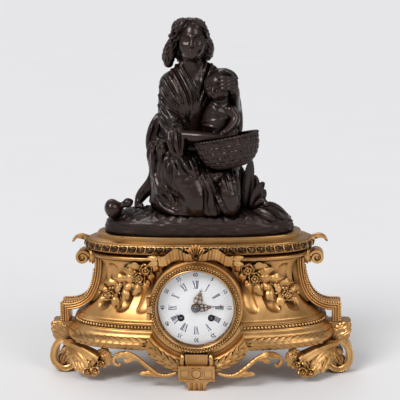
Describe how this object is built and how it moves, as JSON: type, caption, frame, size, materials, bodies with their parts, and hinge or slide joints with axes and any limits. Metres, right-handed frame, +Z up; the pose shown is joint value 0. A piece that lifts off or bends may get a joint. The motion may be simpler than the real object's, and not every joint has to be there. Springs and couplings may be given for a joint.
{
  "type": "mantel clock",
  "caption": "Gilt mantel clock: fluted oval case on scroll feet, hinged bezel over an enamel dial, pendulum movement with a bell, and a bronze group of a kneeling mother and child on top.",
  "frame": {"origin": "on the floor, under the middle of the bounding box", "axes": "+Z up, -Y towards the viewer of the dial, +X to that viewer's right"},
  "size_m": [0.3814, 0.176, 0.4435],
  "materials": {
    "gilt": "fire-gilt, satin with burnished edges",
    "bronze": "dark brown patina, satin",
    "brass": "lacquered, brushed",
    "steel": "blued or bright steel",
    "enamel": "white vitreous enamel, gloss",
    "glass": "clear, slightly domed"
  },
  "bodies": {
    "case": {"plinth": "gilt", "dial_apron": "gilt", "centre_foot": "gilt", "cornice": "gilt", "gadroon_ring": "gilt", "ribbon": "gilt", "waist_left": "gilt", "waist_right": "gilt", "scroll_foot_left": "gilt", "scroll_foot_right": "gilt", "foot_leaf_left": "gilt", "foot_leaf_right": "gilt", "console_left": "gilt", "console_right": "gilt", "garland_left": "gilt", "garland_right": "gilt", "apron_scroll_left": "gilt", "apron_scroll_right": "gilt", "drum": "gilt", "bezel_hinge_pin": "steel", "rear_ring": "brass", "rear_hinge_pin": "steel", "dial": "enamel", "dial_plate": "brass", "front_plate": "brass", "back_plate": "brass", "pillar_1": "brass", "pillar_2": "brass", "pillar_3": "brass", "pillar_4": "brass", "suspension_cock": "brass", "bell": "brass", "bell_stand": "steel", "figure_terrace": "bronze", "mother_figure": "bronze", "child_figure": "bronze", "basket": "bronze", "group_bolt": "steel"},
    "bezel": {"front_bezel": "gilt", "dial_glass": "glass"},
    "rear_door": {"rear_door": "brass"},
    "minute_arbor": {"centre_wheel": "brass", "cannon_pinion": "steel", "minute_hand": "gilt", "hand_nut": "steel"},
    "hour_pipe": {"hour_wheel": "brass", "hour_hand": "gilt"},
    "minute_wheel": {"minute_wheel": "brass"},
    "intermediate_wheel": {"intermediate_wheel": "brass"},
    "going_barrel": {"going_barrel": "brass"},
    "third_wheel": {"third_wheel": "brass"},
    "escape_wheel": {"escape_wheel": "brass"},
    "anchor": {"anchor": "steel"},
    "pendulum": {"pendulum": "brass"},
    "going_winding_arbor": {"going_winding_arbor": "steel"},
    "strike_winding_arbor": {"strike_winding_arbor": "steel"},
    "strike_barrel": {"strike_barrel": "brass"},
    "pin_wheel": {"pin_wheel": "brass"},
    "fly": {"fly": "steel"},
    "hammer": {"hammer": "steel"}
  },
  "joints": [
    {"name": "bezel_hinge", "type": "hinge", "parent": "case", "child": "bezel", "pos_m": [-0.0563, -0.0828, 0.1005], "axis": [0, 0, -1], "range_deg": [0, 100]},
    {"name": "rear_door_hinge", "type": "hinge", "parent": "case", "child": "rear_door", "pos_m": [-0.0528, 0.0824, 0.1005], "axis": [0, 0, 1], "range_deg": [0, 110]},
    {"name": "minute_turn", "type": "hinge", "parent": "case", "child": "minute_arbor", "pos_m": [0, -0.045, 0.1005], "axis": [0, 1, 0], "continuous": true},
    {"name": "hour_turn", "type": "hinge", "parent": "case", "child": "hour_pipe", "pos_m": [0, -0.045, 0.1005], "axis": [0, 1, 0], "continuous": true},
    {"name": "minute_wheel_turn", "type": "hinge", "parent": "case", "child": "minute_wheel", "pos_m": [0.006, -0.045, 0.11089], "axis": [0, 1, 0], "continuous": true},
    {"name": "intermediate_turn", "type": "hinge", "parent": "case", "child": "intermediate_wheel", "pos_m": [0.01117, -0.045, 0.10797], "axis": [0, 1, 0], "continuous": true},
    {"name": "going_barrel_turn", "type": "hinge", "parent": "case", "child": "going_barrel", "pos_m": [0.0182, -0.045, 0.0878], "axis": [0, 1, 0], "continuous": true},
    {"name": "third_turn", "type": "hinge", "parent": "case", "child": "third_wheel", "pos_m": [-0.00624, -0.045, 0.11131], "axis": [0, 1, 0], "continuous": true},
    {"name": "escape_turn", "type": "hinge", "parent": "case", "child": "escape_wheel", "pos_m": [0, -0.045, 0.12099], "axis": [0, 1, 0], "continuous": true},
    {"name": "going_winding", "type": "hinge", "parent": "case", "child": "going_winding_arbor", "pos_m": [0.0182, -0.045, 0.0878], "axis": [0, 1, 0], "continuous": true},
    {"name": "strike_winding", "type": "hinge", "parent": "case", "child": "strike_winding_arbor", "pos_m": [-0.0182, -0.045, 0.0878], "axis": [0, 1, 0], "continuous": true},
    {"name": "strike_barrel_turn", "type": "hinge", "parent": "case", "child": "strike_barrel", "pos_m": [-0.0182, -0.045, 0.0878], "axis": [0, 1, 0], "continuous": true},
    {"name": "pin_wheel_turn", "type": "hinge", "parent": "case", "child": "pin_wheel", "pos_m": [-0.02373, -0.045, 0.10843], "axis": [0, 1, 0], "continuous": true},
    {"name": "fly_turn", "type": "hinge", "parent": "case", "child": "fly", "pos_m": [-0.02037, -0.045, 0.12095], "axis": [0, 1, 0], "continuous": true},
    {"name": "pendulum_swing", "type": "hinge", "parent": "case", "child": "pendulum", "pos_m": [0, -0.0153, 0.13299], "axis": [0, 1, 0], "range_deg": [-4, 4]},
    {"name": "anchor_rock", "type": "hinge", "parent": "case", "child": "anchor", "pos_m": [0, -0.045, 0.13299], "axis": [0, 1, 0], "range_deg": [-4, 4]},
    {"name": "hammer_lift", "type": "hinge", "parent": "case", "child": "hammer", "pos_m": [0.027, -0.022, 0.0765], "axis": [0, 1, 0], "range_deg": [0, 12], "stiffness_Nm_per_rad": 0.02, "springref_deg": -11.46}
  ],
  "couplings": [
    {"joint": "hour_turn", "follows": "minute_turn", "ratio": 0.083333},
    {"joint": "minute_wheel_turn", "follows": "minute_turn", "ratio": -0.33333},
    {"joint": "intermediate_turn", "follows": "minute_turn", "ratio": -0.33333},
    {"joint": "going_barrel_turn", "follows": "minute_turn", "ratio": 0.11111},
    {"joint": "third_turn", "follows": "minute_turn", "ratio": -3},
    {"joint": "escape_turn", "follows": "minute_turn", "ratio": 9},
    {"joint": "pin_wheel_turn", "follows": "strike_barrel_turn", "ratio": -3},
    {"joint": "fly_turn", "follows": "strike_barrel_turn", "ratio": 9},
    {"joint": "anchor_rock", "follows": "pendulum_swing", "ratio": 1}
  ]
}
